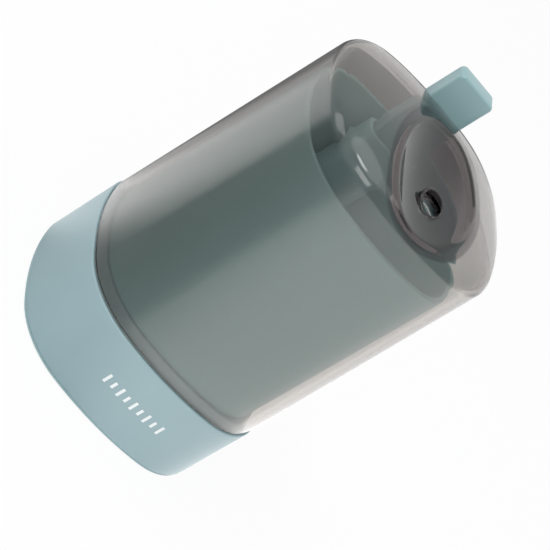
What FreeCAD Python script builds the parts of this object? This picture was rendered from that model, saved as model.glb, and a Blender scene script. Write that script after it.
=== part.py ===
"""Push-tab toothpick dispenser, millimetres.

Frame: bottom centre of the standing dispenser at the origin, +Z up, the
printed front face toward -Y, the press tab toward +Y.
"""
import FreeCAD
import Part
import math
import os

V = FreeCAD.Vector
os.makedirs("parts", exist_ok=True)

# Rounded-square plan shared by every ring-shaped piece
base_half_width = 35.0
side_radius_ratio = 80.0 / 35.0
corner_radius_ratio = 21.13 / 35.0

# Heights of the stack
foot_proud = 0.4
plate_flange = 0.6
plate_thickness = 2.2
seam_height = 24.6
deck_thickness = 2.0
neck_rise = 3.3
cover_seat_gap = 0.3
shoulder_height = 100.45
dome_rise = 9.5
dome_fillet = 5.5
hopper_rim_height = 93.0

# Walls
base_wall = 2.0
neck_wall = 1.6
cover_wall = 2.0
hopper_wall = 1.5
funnel_wall = 2.2
funnel_skirt = 1.5
tunnel_wall = 1.3

# Clearances
cover_neck_gap = 0.32
cover_step = 0.38
hopper_cover_gap = 0.62
hopper_neck_gap = 0.3
plate_cup_gap = 0.3
funnel_gap = 0.3
running_gap = 0.4
slot_gap = 0.5
pin_gap = 0.3
slide_fit = 0.06
press_fit = 0.02
sleeve_hole_gap = 0.7
overcut = 1.0

# Draft of the cover from the seam to the shoulder
cover_draft = 0.8

# Outlet through the scoop, set back from the front of the base
outlet_x = 2.8
outlet_setback = 16.4
outlet_radius = 3.3
collar_radius = 4.1
collar_above_shoulder = 6.35
collar_tilt = 22.0

# Scoop in the top of the cover: a tilted ellipsoid
scoop_x = 0.6
scoop_behind_outlet = 15.44
scoop_above_shoulder = 52.75
scoop_semi_x = 33.43
scoop_semi_y = 79.9
scoop_semi_z = 41.21
scoop_tilt = math.degrees(0.41)
scoop_wall = 1.8

# Press tab and its stem, set in from the back of the base
tab_width = 13.1
tab_depth = 5.8
tab_setback = 14.4
tab_top = 121.4
tab_corner = 1.6
tab_crown_radius = 40.0
tab_edge_round = 0.9
press_travel = 9.0

# Yoke that joins the tab to the lifter
yoke_clearance = 2.8
yoke_thickness = 4.0
yoke_arm_width = 12.0
yoke_wing_width = 11.0
yoke_overhang = 5.0
yoke_back_margin = 1.0
yoke_wing_margin = 0.5
yoke_corner = 3.0

# Guide posts, bushes and return springs
post_setback = 18.0
post_y = 0.0
post_radius = 2.0
post_head_proud = 1.4
bush_radius = 3.2
bush_flange_radius = 5.0
bush_flange = 1.0
bush_proud = 0.3
boss_radius = 3.3
boss_height = 1.6
post_socket_floor = 1.0
post_end_chamfer = 0.3
spring_mean_radius = 4.3
spring_wire_radius = 0.35
spring_turns = 5
spring_arcs_per_turn = 8
spring_end_gap = 0.03
cap_radius = 3.6
cap_thickness = 1.0

# Lifter pin
pin_radius = 1.6
pin_top = 46.0
pin_collar_radius = 2.8
pin_collar = 1.2
pin_cup_radius = 1.2
pin_cup_floor_radius = 0.2
pin_cup_depth = 0.9
sleeve_wall = 1.2
sleeve_flange = 1.6
sleeve_flange_reach = 1.2
sleeve_below_floor = 1.0
clip_radius = 3.0
clip_thickness = 0.8

# Hopper seat on the neck
hopper_floor = 2.1
spigot_depth = 1.5
spigot_wall = 1.5
hopper_rim_round = 0.5
tunnel_below_rim = 1.0

# Funnel in the floor of the hopper
funnel_tube_wall = 2.0
funnel_lead = 1.2
funnel_lip_height = 38.0
funnel_slope = 20.0
funnel_mouth_radius = 3.2
funnel_hole_radius = 2.2
funnel_height = 58.0

# Screws
screw_radius = 1.25
screw_head_radius = 2.4
screw_head = 1.4
plunger_screw_length = 7.0
plate_screw_length = 9.0
hopper_screw_length = 7.0
screw_head_round = 0.45
screw_cross_width = 0.7
screw_cross_length = 2.6
screw_cross_depth = 0.6
screw_tip_gap = 0.6
screw_boss_roof = 1.2
screw_boss_radius = 3.6
plate_screw_setback = 14.5
hopper_screw_setback_x = 21.0
hopper_screw_setback_y = 22.0
tab_screw_x = 3.4
screw_bore_gap = 0.25

# Foot pads
foot_radius = 4.5
foot_setback_x = 24.5
foot_setback_y = 10.0
foot_depth = 1.0
foot_pocket_gap = 0.1
foot_edge_round = 0.25

# Edge rounding of the base
base_lower_round = 0.5
base_upper_round = 0.35
plate_step = 0.3

# Derived levels
plate_bottom = foot_proud
cup_bottom = plate_bottom + plate_flange
plate_top = plate_bottom + plate_thickness
deck_top = seam_height
deck_bottom = deck_top - deck_thickness
neck_top = seam_height + neck_rise
cup_inner = base_half_width - base_wall
cover_bottom = seam_height + cover_seat_gap
cover_half_seam = base_half_width - cover_step
cover_half_shoulder = cover_half_seam - cover_draft
neck_half = cover_half_seam - cover_wall - cover_neck_gap
hopper_half = cover_half_shoulder - cover_wall - hopper_cover_gap
spigot_half = neck_half - neck_wall - hopper_neck_gap
hopper_floor_bottom = neck_top
hopper_floor_top = hopper_floor_bottom + hopper_floor
hopper_screw_bore_top = deck_bottom + hopper_screw_length + screw_tip_gap
yoke_bottom = plate_top + boss_height + press_travel + bush_flange + yoke_clearance
yoke_top = yoke_bottom + yoke_thickness
tab_y = base_half_width - tab_setback
outlet_y = outlet_setback - base_half_width
scoop_y = outlet_y + scoop_behind_outlet
scoop_z = shoulder_height + scoop_above_shoulder
collar_height = shoulder_height + collar_above_shoulder
post_x = base_half_width - post_setback
plate_screw_at = base_half_width - plate_screw_setback
hopper_screw_x = base_half_width - hopper_screw_setback_x
hopper_screw_y = base_half_width - hopper_screw_setback_y
foot_x = base_half_width - foot_setback_x
foot_y = base_half_width - foot_setback_y
apex_height = shoulder_height + 2 * dome_rise
dome_radius = (cover_half_shoulder ** 2 + dome_rise ** 2) / (2 * dome_rise)
dome_centre = shoulder_height - math.sqrt(
    (dome_radius - dome_fillet) ** 2 - (cover_half_shoulder - dome_fillet) ** 2)
fillet_end = math.degrees(math.atan2(
    shoulder_height - dome_centre, cover_half_shoulder - dome_fillet))


def squircle(half, z):
    """Closed rounded-square wire of eight tangent arcs at height z."""
    side = half * side_radius_ratio
    corner = half * corner_radius_ratio
    reach = side - half
    span = side - corner
    centre = (math.sqrt(2 * span ** 2 - reach ** 2) - reach) / 2
    start = math.degrees(math.atan2(centre, centre + reach))
    edges = []
    for quarter in range(4):
        turn = 90.0 * quarter
        edges.append(plan_arc(-reach, 0.0, side, -start, start, turn, z))
        edges.append(plan_arc(centre, centre, corner, start, 90.0 - start, turn, z))
    return Part.Wire(edges)


def plan_arc(cx, cy, radius, from_deg, to_deg, turn, z):
    """Arc about (cx, cy) turned about the Z axis, given by three points."""
    points = []
    for angle in (from_deg, (from_deg + to_deg) / 2, to_deg):
        x = cx + radius * math.cos(math.radians(angle))
        y = cy + radius * math.sin(math.radians(angle))
        c = math.cos(math.radians(turn))
        s = math.sin(math.radians(turn))
        points.append(V(x * c - y * s, x * s + y * c, z))
    return Part.Arc(*points).toShape()


def prism(half, z0, z1):
    """Straight rounded-square block."""
    return Part.Face(squircle(half, z0)).extrude(V(0, 0, z1 - z0))


def tapered(half0, z0, half1, z1):
    """Drafted rounded-square block."""
    return Part.makeLoft([squircle(half0, z0), squircle(half1, z1)], True, True)


def cylinder(x, y, radius, z0, z1):
    """Upright cylinder."""
    return Part.makeCylinder(radius, z1 - z0, V(x, y, z0))


def block(width, depth, x, y, z0, z1):
    """Upright block centred at (x, y)."""
    return Part.makeBox(width, depth, z1 - z0, V(x - width / 2, y - depth / 2, z0))


def rounded_block(width, depth, radius, x, y, z0, z1):
    """Upright block with rounded upright edges."""
    solid = block(width, depth, x, y, z0, z1)
    upright = [e for e in solid.Edges
               if abs(e.Vertexes[0].Z - e.Vertexes[-1].Z) > 0.9 * (z1 - z0)]
    return solid.makeFillet(radius, upright)


def fused(first, *others):
    """One solid from touching or overlapping solids."""
    result = first
    for other in others:
        result = result.fuse(other)
    return result.removeSplitter()


def save(name, shape):
    """Write one named piece."""
    shape.exportStep("parts/%s.step" % name)


def screws(length, places):
    """Upward pan-head screws: (x, y, z of the head's seating face) for each."""
    parts = []
    for x, y, z in places:
        low = z - screw_head
        head = cylinder(x, y, screw_head_radius, low, z)
        rim = [e for e in head.Edges
               if abs(e.CenterOfMass.z - low) < 1e-6 and e.Length > screw_head]
        head = head.makeFillet(screw_head_round, rim)
        for width, depth in ((screw_cross_width, screw_cross_length),
                             (screw_cross_length, screw_cross_width)):
            head = head.cut(block(width, depth, x, y, low - overcut,
                                  low + screw_cross_depth))
        shank = cylinder(x, y, screw_radius, z, z + length)
        parts.append(head.fuse(shank).removeSplitter())
    return Part.makeCompound(parts)


# Places used by more than one piece
plate_screw_places = [(sx * plate_screw_at, sy * plate_screw_at)
                      for sx in (-1, 1) for sy in (-1, 1)]
foot_places = {"front_left": (-foot_x, -foot_y), "front_right": (foot_x, -foot_y),
               "back_left": (-foot_x, foot_y), "back_right": (foot_x, foot_y)}
post_places = {"left": (-post_x, post_y), "right": (post_x, post_y)}
hopper_screw_places = [(sx * hopper_screw_x, sy * hopper_screw_y)
                       for sx in (-1, 1) for sy in (-1, 1)]
stem_slot_width = tab_width + 2 * running_gap
stem_slot_depth = tab_depth + 2 * running_gap
tunnel_width = stem_slot_width + 2 * tunnel_wall
tunnel_depth = stem_slot_depth + 2 * tunnel_wall
tunnel_corner = tab_corner + running_gap + tunnel_wall
sleeve_radius = pin_radius + pin_gap + sleeve_wall


def stem_bore(z0, z1):
    """Slot that the stem slides in, as a block to cut away."""
    return rounded_block(stem_slot_width, stem_slot_depth, tab_corner + running_gap,
                         0, tab_y, z0, z1)


def base_plate():
    """Closing plate: visible flange, spigot, post bosses, pad pockets."""
    flange = prism(base_half_width - plate_step, plate_bottom, cup_bottom)
    spigot = prism(cup_inner - plate_cup_gap, plate_bottom, plate_top)
    plate = fused(flange, spigot)
    for x, y in post_places.values():
        plate = plate.fuse(cylinder(x, y, boss_radius, plate_top, plate_top + boss_height))
        plate = plate.cut(cylinder(x, y, post_radius + press_fit,
                                   plate_bottom + post_socket_floor,
                                   plate_top + boss_height + overcut))
    for x, y in plate_screw_places:
        plate = plate.cut(cylinder(x, y, screw_radius + screw_bore_gap,
                                   plate_bottom - overcut, plate_top + overcut))
        plate = plate.cut(cylinder(x, y, screw_head_radius + screw_bore_gap,
                                   plate_bottom - overcut, plate_bottom + screw_head))
    for x, y in foot_places.values():
        plate = plate.cut(cylinder(x, y, foot_radius + foot_pocket_gap,
                                   plate_bottom - overcut, plate_bottom + foot_depth))
    return plate


def foot_pad(x, y):
    """Round rubber pad set in its pocket under the plate."""
    pad = cylinder(x, y, foot_radius, 0.0, plate_bottom + foot_depth)
    rim = [e for e in pad.Edges
           if abs(e.CenterOfMass.z) < 1e-6 and e.Length > foot_radius]
    return pad.makeFillet(foot_edge_round, rim)


def base_shell():
    """Coloured cup with its deck, neck and screw bosses."""
    cup = prism(base_half_width, cup_bottom, seam_height)
    lower = [e for e in cup.Edges if abs(e.CenterOfMass.z - cup_bottom) < 1e-6]
    cup = cup.makeFillet(base_lower_round, lower)
    upper = [e for e in cup.Edges if abs(e.BoundBox.ZMin - seam_height) < 1e-6]
    cup = cup.makeFillet(base_upper_round, upper)
    cup = cup.cut(prism(cup_inner, cup_bottom - overcut, deck_bottom))
    neck = prism(neck_half, deck_top - deck_thickness / 2, neck_top)
    cup = cup.fuse(neck)
    cup = cup.cut(prism(neck_half - neck_wall, deck_top, neck_top + overcut))
    for x, y in plate_screw_places:
        cup = cup.fuse(cylinder(x, y, screw_boss_radius, plate_top,
                                deck_bottom + deck_thickness / 2))
        cup = cup.cut(cylinder(x, y, screw_radius + press_fit, plate_top - overcut,
                               plate_bottom + screw_head + plate_screw_length
                               + screw_tip_gap))
    for x, y in post_places.values():
        cup = cup.cut(cylinder(x, y, post_radius + press_fit,
                               deck_bottom - overcut, deck_top + overcut))
    for x, y in hopper_screw_places:
        cup = cup.cut(cylinder(x, y, screw_radius + screw_bore_gap,
                               deck_bottom - overcut, deck_top + overcut))
    cup = cup.cut(stem_bore(deck_bottom - overcut, deck_top + overcut))
    cup = cup.cut(cylinder(outlet_x, outlet_y, sleeve_radius + sleeve_hole_gap,
                           deck_bottom - overcut, deck_top + overcut))
    return cup.removeSplitter()


def guide_post(x, y):
    """Steel post from its socket in the plate to above the deck."""
    post = cylinder(x, y, post_radius, plate_bottom + post_socket_floor,
                    deck_top + post_head_proud)
    ends = [e for e in post.Edges if e.Length > post_radius and
            abs(e.BoundBox.ZMax - e.BoundBox.ZMin) < 1e-6]
    return post.makeChamfer(post_end_chamfer, ends)


def post_caps():
    """Push nuts on the posts, seated on the deck."""
    caps = []
    for x, y in post_places.values():
        cap = cylinder(x, y, cap_radius, deck_top, deck_top + cap_thickness)
        caps.append(cap.cut(cylinder(x, y, post_radius + press_fit, deck_top - overcut,
                                     deck_top + cap_thickness + overcut)))
    return Part.makeCompound(caps)


def return_spring(x, y):
    """Round-wire compression spring between the plate and the yoke."""
    low = plate_top + spring_wire_radius + spring_end_gap
    high = yoke_bottom - bush_flange - spring_wire_radius - spring_end_gap
    pitch = (high - low) / spring_turns
    count = round(spring_turns * spring_arcs_per_turn)
    arcs = []
    for i in range(count):
        points = []
        for share in (i / count, (i + 0.5) / count, (i + 1) / count):
            angle = 2 * math.pi * spring_turns * share
            points.append(V(spring_mean_radius * math.cos(angle),
                            spring_mean_radius * math.sin(angle),
                            (high - low) * share))
        arcs.append(Part.Arc(*points).toShape())
    rise = V(0, 2 * math.pi * spring_mean_radius, pitch)
    wire = Part.Wire(Part.makeCircle(spring_wire_radius, V(spring_mean_radius, 0, 0), rise))
    coil = Part.Wire(arcs).makePipe(Part.Face(wire))
    coil.translate(V(x, y, low))
    return coil


def hopper():
    """Open-topped store with the tunnel for the stem at the back."""
    outer = prism(hopper_half, hopper_floor_bottom, hopper_rim_height)
    rim = [e for e in outer.Edges if abs(e.BoundBox.ZMin - hopper_rim_height) < 1e-6]
    outer = outer.makeFillet(hopper_rim_round, rim)
    store = outer.cut(prism(hopper_half - hopper_wall, hopper_floor_top,
                            hopper_rim_height + overcut))
    spigot = prism(spigot_half, hopper_floor_bottom - spigot_depth, hopper_floor_top)
    spigot = spigot.cut(prism(spigot_half - spigot_wall,
                              hopper_floor_bottom - spigot_depth - overcut,
                              hopper_floor_bottom))
    store = store.fuse(spigot)
    tunnel = rounded_block(tunnel_width, tunnel_depth, tunnel_corner, 0, tab_y,
                           hopper_floor_bottom, hopper_rim_height - tunnel_below_rim)
    tunnel = tunnel.common(prism(hopper_half - hopper_wall / 2, hopper_floor_bottom,
                                 hopper_rim_height))
    store = store.fuse(tunnel)
    store = store.cut(stem_bore(hopper_floor_bottom - overcut, hopper_rim_height + overcut))
    for x, y in hopper_screw_places:
        foot = cylinder(x, y, screw_boss_radius, deck_top,
                        hopper_screw_bore_top + screw_boss_roof)
        bore = cylinder(x, y, screw_radius + press_fit, deck_top - overcut,
                        hopper_screw_bore_top)
        store = store.fuse(foot).cut(bore)
    store = store.cut(cylinder(outlet_x, outlet_y, sleeve_radius + press_fit,
                               hopper_floor_bottom - overcut, hopper_floor_top + overcut))
    return store.removeSplitter()


def funnel_insert():
    """Sloped floor that leads the picks to the hole over the lifter."""
    half = hopper_half - hopper_wall - funnel_gap
    low = hopper_floor_top - overcut
    high = funnel_height + overcut
    reach = 2 * hopper_half
    rise = reach * math.tan(math.radians(funnel_slope))
    upper = Part.makeCone(funnel_mouth_radius, funnel_mouth_radius + reach, rise,
                          V(outlet_x, outlet_y, funnel_lip_height))
    lower = upper.copy()
    lower.translate(V(0, 0, -funnel_wall))
    deep = cylinder(outlet_x, outlet_y, funnel_mouth_radius,
                    funnel_lip_height - funnel_wall, funnel_height)
    hollow = prism(half - funnel_skirt, low, high).cut(lower).cut(deep)
    tube = cylinder(outlet_x, outlet_y, funnel_hole_radius + funnel_tube_wall,
                    hopper_floor_top + sleeve_flange + funnel_gap, funnel_lip_height)
    body = prism(half, hopper_floor_top, funnel_height).cut(upper).cut(hollow).fuse(tube)
    body = body.cut(cylinder(outlet_x, outlet_y, funnel_hole_radius, low,
                             funnel_lip_height + overcut))
    body = body.cut(Part.makeCone(funnel_hole_radius, funnel_mouth_radius, funnel_lead,
                                  V(outlet_x, outlet_y, funnel_lip_height - funnel_lead)))
    width = tunnel_width + 2 * funnel_gap
    body = body.cut(rounded_block(width, tunnel_depth + 2 * funnel_gap, tunnel_corner,
                                  0, tab_y, low, high))
    body = body.cut(block(width, hopper_half - tab_y, 0, (hopper_half + tab_y) / 2,
                          low, high))
    return body.removeSplitter()


def pin_sleeve():
    """Flanged sleeve in the hopper floor that guides the lifter pin."""
    low = hopper_floor_bottom - sleeve_below_floor
    high = hopper_floor_top + sleeve_flange
    sleeve = fused(cylinder(outlet_x, outlet_y, sleeve_radius, low, high),
                   cylinder(outlet_x, outlet_y, sleeve_radius + sleeve_flange_reach,
                            hopper_floor_top, high))
    return sleeve.cut(cylinder(outlet_x, outlet_y, pin_radius + slide_fit,
                               low - overcut, high + overcut))


def lifter_pin():
    """Slim pin with a cupped top and a collar that sits on the yoke."""
    pin = cylinder(outlet_x, outlet_y, pin_radius, yoke_bottom + clip_thickness, pin_top)
    pin = fused(pin, cylinder(outlet_x, outlet_y, pin_collar_radius, yoke_top,
                              yoke_top + pin_collar))
    cup = Part.makeCone(pin_cup_floor_radius, pin_cup_radius, pin_cup_depth,
                        V(outlet_x, outlet_y, pin_top - pin_cup_depth))
    return pin.cut(cup)


def pin_clip():
    """Push-on clip under the yoke that holds the pin foot."""
    return cylinder(outlet_x, outlet_y, clip_radius, yoke_bottom,
                    yoke_bottom + clip_thickness)


def press_tab():
    """Finger tab with the long flat stem that runs down to the yoke."""
    stem = rounded_block(tab_width, tab_depth, tab_corner, 0, tab_y, yoke_top, tab_top)
    crown = Part.makeCylinder(tab_crown_radius, 2 * tab_depth,
                              V(0, tab_y - tab_depth, tab_top - tab_crown_radius),
                              V(0, 1, 0))
    below = block(2 * tab_width, 2 * tab_depth, 0, tab_y, yoke_top - overcut,
                  tab_top - tab_depth)
    stem = stem.common(crown.fuse(below))
    upper = [e for e in stem.Edges if e.BoundBox.ZMin > tab_top - tab_corner]
    stem = stem.makeFillet(tab_edge_round, upper)
    for sx in (-1, 1):
        stem = stem.cut(cylinder(sx * tab_screw_x, tab_y, screw_radius + press_fit,
                                 yoke_top - overcut,
                                 yoke_bottom + plunger_screw_length + screw_tip_gap))
    return stem


def plunger_yoke():
    """Cross-shaped carrier for the stem, the lifter and the two bushes."""
    front = outlet_y - yoke_overhang
    back = tab_y + tab_depth / 2 + yoke_back_margin
    arm = rounded_block(yoke_arm_width, back - front, yoke_corner, 0, (front + back) / 2,
                        yoke_bottom, yoke_top)
    wing = rounded_block(2 * (post_x + yoke_overhang + yoke_wing_margin),
                         yoke_wing_width, yoke_corner, 0, post_y, yoke_bottom, yoke_top)
    yoke = fused(arm, wing)
    for sx in (-1, 1):
        yoke = yoke.cut(cylinder(sx * tab_screw_x, tab_y, screw_radius + screw_bore_gap,
                                 yoke_bottom - overcut, yoke_top + overcut))
        yoke = yoke.cut(cylinder(sx * post_x, post_y, bush_radius + press_fit,
                                 yoke_bottom - overcut, yoke_top + overcut))
    yoke = yoke.cut(cylinder(outlet_x, outlet_y, pin_radius + press_fit,
                             yoke_bottom - overcut, yoke_top + overcut))
    yoke = yoke.cut(cylinder(outlet_x, outlet_y, clip_radius + press_fit,
                             yoke_bottom - overcut, yoke_bottom + clip_thickness))
    return yoke.removeSplitter()


def guide_bush(x, y):
    """Flanged bush in the yoke that runs on a guide post."""
    low = yoke_bottom - bush_flange
    high = yoke_top + bush_proud
    bush = fused(cylinder(x, y, bush_radius, low, high),
                 cylinder(x, y, bush_flange_radius, low, yoke_bottom))
    return bush.cut(cylinder(x, y, post_radius + slide_fit, low - overcut, high + overcut))


def cap_block(inset):
    """Fillet and dome above the shoulder, inset from the outer face."""
    half = cover_half_shoulder - inset
    round_radius = dome_fillet - inset
    corner_at = half - round_radius
    sections = []
    for share in (0.0, 0.25, 0.5, 0.75, 1.0):
        angle = math.radians(fillet_end * share)
        sections.append(squircle(corner_at + round_radius * math.cos(angle),
                                 shoulder_height + round_radius * math.sin(angle)))
    edge = Part.makeLoft(sections, True, False)
    crown_radius = dome_radius - inset
    top_half = corner_at + round_radius * math.cos(math.radians(fillet_end))
    rings = []
    for share in (1.0, 0.8, 0.6, 0.4, 0.2, 0.06):
        reach = top_half * share
        rings.append(squircle(reach, dome_centre + math.sqrt(crown_radius ** 2 - reach ** 2)))
    crown = Part.makeLoft(rings, True, False)
    return edge.fuse(crown)


def ellipsoid(grow):
    """Ellipsoid of the scoop, grown outward by an even amount."""
    matrix = FreeCAD.Matrix()
    matrix.scale(scoop_semi_x + grow, scoop_semi_y + grow, scoop_semi_z + grow)
    solid = Part.makeSphere(1.0).transformGeometry(matrix)
    solid.rotate(V(0, 0, 0), V(1, 0, 0), scoop_tilt)
    solid.translate(V(scoop_x, scoop_y, scoop_z))
    return solid


def cover_shell():
    """Clear domed cover with its scoop, outlet and tab slot."""
    outer = tapered(cover_half_seam, cover_bottom, cover_half_shoulder, shoulder_height)
    outer = outer.fuse(cap_block(0.0))
    inner = tapered(cover_half_seam - cover_wall, cover_bottom,
                    cover_half_shoulder - cover_wall, shoulder_height)
    inner = inner.fuse(prism(cover_half_seam - cover_wall, cover_bottom - overcut,
                             cover_bottom))
    inner = inner.fuse(cap_block(cover_wall))
    bowl = ellipsoid(scoop_wall).common(outer)
    shell = outer.cut(inner).fuse(bowl).cut(ellipsoid(0.0))
    collar = cylinder(outlet_x, outlet_y, collar_radius, shoulder_height - collar_radius,
                      apex_height)
    reach = 5 * collar_radius
    keep = Part.makeBox(2 * reach, 2 * reach, reach, V(-reach, -reach, -reach))
    keep.rotate(V(0, 0, 0), V(1, 0, 0), collar_tilt)
    keep.translate(V(outlet_x, outlet_y, collar_height))
    collar = collar.common(keep).common(ellipsoid(scoop_wall))
    shell = shell.fuse(collar)
    shell = shell.cut(cylinder(outlet_x, outlet_y, outlet_radius,
                               hopper_rim_height, apex_height))
    slot = rounded_block(tab_width + 2 * slot_gap, tab_depth + 2 * slot_gap,
                         tab_corner + slot_gap, 0, tab_y, hopper_rim_height, apex_height)
    return shell.cut(slot)


def main():
    """Build and write every piece."""
    save("base_plate", base_plate())
    for name, (x, y) in foot_places.items():
        save("foot_pad_" + name, foot_pad(x, y))
    save("base_shell", base_shell())
    save("plate_screws", screws(plate_screw_length,
                                [(x, y, plate_bottom + screw_head)
                                 for x, y in plate_screw_places]))
    for side, (x, y) in post_places.items():
        save("guide_post_" + side, guide_post(x, y))
        save("return_spring_" + side, return_spring(x, y))
        save("guide_bush_" + side, guide_bush(x, y))
    save("post_caps", post_caps())
    save("hopper", hopper())
    save("hopper_screws", screws(hopper_screw_length,
                                 [(x, y, deck_bottom) for x, y in hopper_screw_places]))
    save("funnel_insert", funnel_insert())
    save("pin_sleeve", pin_sleeve())
    save("press_tab", press_tab())
    save("plunger_yoke", plunger_yoke())
    save("plunger_screws", screws(plunger_screw_length,
                                  [(sx * tab_screw_x, tab_y, yoke_bottom)
                                   for sx in (-1, 1)]))
    save("lifter_pin", lifter_pin())
    save("pin_clip", pin_clip())
    save("cover_shell", cover_shell())


main()
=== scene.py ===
"""Press-tab toothpick dispenser: finishes, fine shapes, soft light and camera.

The sub-assemblies' sizes are millimetres. Finishes, springs, lamps and meshes are in metres.
"""

import logging
import math
from collections.abc import Callable
from dataclasses import dataclass
from enum import Enum

import bmesh
import bpy
import numpy as np
from mathutils import Matrix, Vector


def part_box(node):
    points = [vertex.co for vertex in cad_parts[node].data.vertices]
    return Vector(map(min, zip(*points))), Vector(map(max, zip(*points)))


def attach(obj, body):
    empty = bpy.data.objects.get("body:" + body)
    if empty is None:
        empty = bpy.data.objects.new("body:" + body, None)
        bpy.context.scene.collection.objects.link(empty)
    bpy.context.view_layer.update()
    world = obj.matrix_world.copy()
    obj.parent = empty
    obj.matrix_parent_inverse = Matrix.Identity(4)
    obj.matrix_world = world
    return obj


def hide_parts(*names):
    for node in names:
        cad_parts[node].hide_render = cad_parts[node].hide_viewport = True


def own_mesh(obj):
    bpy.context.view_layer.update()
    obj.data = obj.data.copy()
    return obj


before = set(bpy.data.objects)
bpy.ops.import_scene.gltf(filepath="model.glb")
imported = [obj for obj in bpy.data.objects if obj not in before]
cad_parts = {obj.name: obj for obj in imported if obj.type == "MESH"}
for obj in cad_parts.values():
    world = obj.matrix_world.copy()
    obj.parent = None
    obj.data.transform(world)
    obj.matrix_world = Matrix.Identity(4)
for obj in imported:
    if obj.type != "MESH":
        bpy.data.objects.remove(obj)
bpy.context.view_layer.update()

logging.basicConfig(level=logging.INFO, format="%(message)s")
LOG = logging.getLogger("dispenser")
MM = 0.001

# Places that several pieces share, in millimetres, and the scoop's tilt in radians
OUTLET = (2.8, -18.6)
TAB_Y = 20.6
SLOT_HOLE = (13.9, 6.6)
SLOT_HOLE_ROUND = 2.0
SEAM = 24.6
SCOOP_CENTRE = (0.6, -3.16, 153.2)
SCOOP_SEMI = (33.43, 79.9, 41.21)
SCOOP_TILT = 0.41


class Body(Enum):
    """The rigid bodies that pieces ride on."""

    BASE = "base"
    PLUNGER = "plunger"
    COVER = "cover"


# Finishes


def srgb(red: float, green: float, blue: float) -> tuple[float, float, float, float]:
    """Turn 0-255 display values into a linear colour.

    Args:
        red: Display red.
        green: Display green.
        blue: Display blue.

    Returns:
        Linear red, green, blue and an alpha of one.
    """
    def one(value: float) -> float:
        """Linear value of one channel."""
        share = value / 255.0
        return share / 12.92 if share <= 0.04045 else ((share + 0.055) / 1.055) ** 2.4
    return (one(red), one(green), one(blue), 1.0)


def blank_material(name: str) -> tuple[bpy.types.Material, bpy.types.NodeTree]:
    """Make a node material with only its output node.

    Args:
        name: Name of the material.

    Returns:
        The material and its node tree.
    """
    material = bpy.data.materials.new(name)
    material.use_nodes = True
    tree = material.node_tree
    for node in list(tree.nodes):
        if node.type != "OUTPUT_MATERIAL":
            tree.nodes.remove(node)
    return material, tree


def add_node(tree: bpy.types.NodeTree, kind: str, values: dict | None = None,
             **settings: str) -> bpy.types.Node:
    """Add a shader node.

    Args:
        tree: The node tree that it goes into.
        kind: Its type, without the leading ShaderNode.
        values: Values of its sockets, by name or number.
        settings: Choices that belong to the node itself.

    Returns:
        The node.
    """
    node = tree.nodes.new("ShaderNode" + kind)
    for key, choice in settings.items():
        setattr(node, key, choice)
    for key, value in (values or {}).items():
        node.inputs[key].default_value = value
    return node


def connect(tree: bpy.types.NodeTree, *routes: tuple) -> None:
    """Join node sockets.

    Args:
        tree: The node tree.
        routes: From node, its output, to node and its input, for each link.
    """
    for source, out, target, into in routes:
        tree.links.new(source.outputs[out], target.inputs[into])


@dataclass(frozen=True)
class Moulded:
    """Injection-moulded opaque plastic with a faint moulded grain."""

    name: str
    colour: tuple[float, float, float, float]
    roughness: float = 0.35
    grain: float = 0.04
    grain_scale: float = 900.0
    mottle: float = 0.03
    translucency: float = 0.0
    cloud_scale: float = 60.0
    grain_depth: float = 0.0001
    gloss_spread: float = 0.15
    scatter_depth: float = 0.002

    def material(self) -> bpy.types.Material:
        """Build the node material.

        Returns:
            The material.
        """
        material, tree = blank_material(self.name)
        dark, light = (tuple(min(1.0, c * share) for c in self.colour[:3]) + (1.0,)
                       for share in (1.0 - self.mottle, 1.0 + self.mottle))
        shader = add_node(tree, "BsdfPrincipled", {
            "Subsurface Weight": self.translucency,
            "Subsurface Radius": (self.scatter_depth,) * 3, "Subsurface Scale": 1.0})
        place = add_node(tree, "TexCoord")
        cloud = add_node(tree, "TexNoise", {"Scale": self.cloud_scale, "Detail": 3.0})
        tint = add_node(tree, "Mix", {"A": dark, "B": light}, data_type="RGBA")
        fine = add_node(tree, "TexNoise", {"Scale": self.grain_scale, "Detail": 2.0})
        bump = add_node(tree, "Bump", {"Strength": self.grain, "Distance": self.grain_depth})
        gloss = add_node(tree, "MapRange", {
            "To Min": self.roughness * (1.0 - self.gloss_spread),
            "To Max": self.roughness * (1.0 + self.gloss_spread)})
        connect(tree,
                (place, "Object", cloud, "Vector"), (place, "Object", fine, "Vector"),
                (cloud, "Fac", tint, "Factor"), (tint, "Result", shader, "Base Color"),
                (cloud, "Fac", gloss, "Value"), (gloss, "Result", shader, "Roughness"),
                (fine, "Fac", bump, "Height"), (bump, "Normal", shader, "Normal"),
                (shader, "BSDF", tree.nodes["Material Output"], "Surface"))
        return material


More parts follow.
